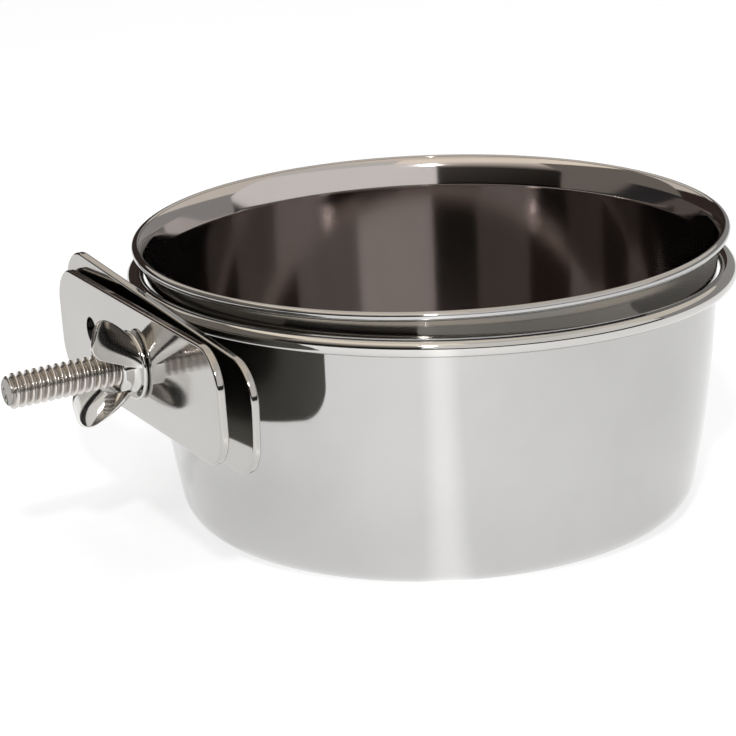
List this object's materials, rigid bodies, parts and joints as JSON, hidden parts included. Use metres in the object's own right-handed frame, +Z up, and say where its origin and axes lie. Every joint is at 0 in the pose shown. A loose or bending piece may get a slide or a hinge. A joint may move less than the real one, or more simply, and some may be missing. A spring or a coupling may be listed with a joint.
{
  "type": "bolt-on seed cup",
  "caption": "Polished steel seed cup that lifts out of a wire ring, with two clamp plates, a bolt and a wing nut to fasten the ring to cage bars.",
  "frame": {"origin": "on the cup's axis, in the plane that the cup stands on", "axes": "+Z up along the cup's axis; the bolt and the clamp point along -X, drooping 1.3 degrees"},
  "size_m": [0.1069, 0.0848, 0.0403],
  "materials": {
    "cup": "mirror polished",
    "holder_ring": "mirror polished",
    "back_plate": "polished, lightly scuffed",
    "bolt": "bright rolled thread",
    "clamp_plate": "polished, lightly scuffed",
    "wing_nut": "bright pressed sheet"
  },
  "bodies": {
    "holder": {"holder_ring": "holder_ring", "back_plate": "back_plate", "bolt": "bolt"},
    "cup": {"cup": "cup"},
    "clamp_plate": {"clamp_plate": "clamp_plate"},
    "wing_nut": {"wing_nut": "wing_nut"}
  },
  "joints": [
    {"name": "cup_lift", "type": "slide", "parent": "holder", "child": "cup", "axis": [0, 0, 1], "range_m": [0, 0.05]},
    {"name": "clamp_travel", "type": "slide", "parent": "holder", "child": "clamp_plate", "axis": [-0.9997, 0, -0.0227], "range_m": [0, 0.0148]},
    {"name": "nut_spin", "type": "hinge", "parent": "clamp_plate", "child": "wing_nut", "pos_m": [-0.04595, 0, 0.0288], "axis": [-0.9997, 0, -0.0227], "range_deg": [0, 5036]}
  ],
  "couplings": [
    {"joint": "nut_spin", "follows": "clamp_travel", "rad_per_m": 5938.7}
  ]
}
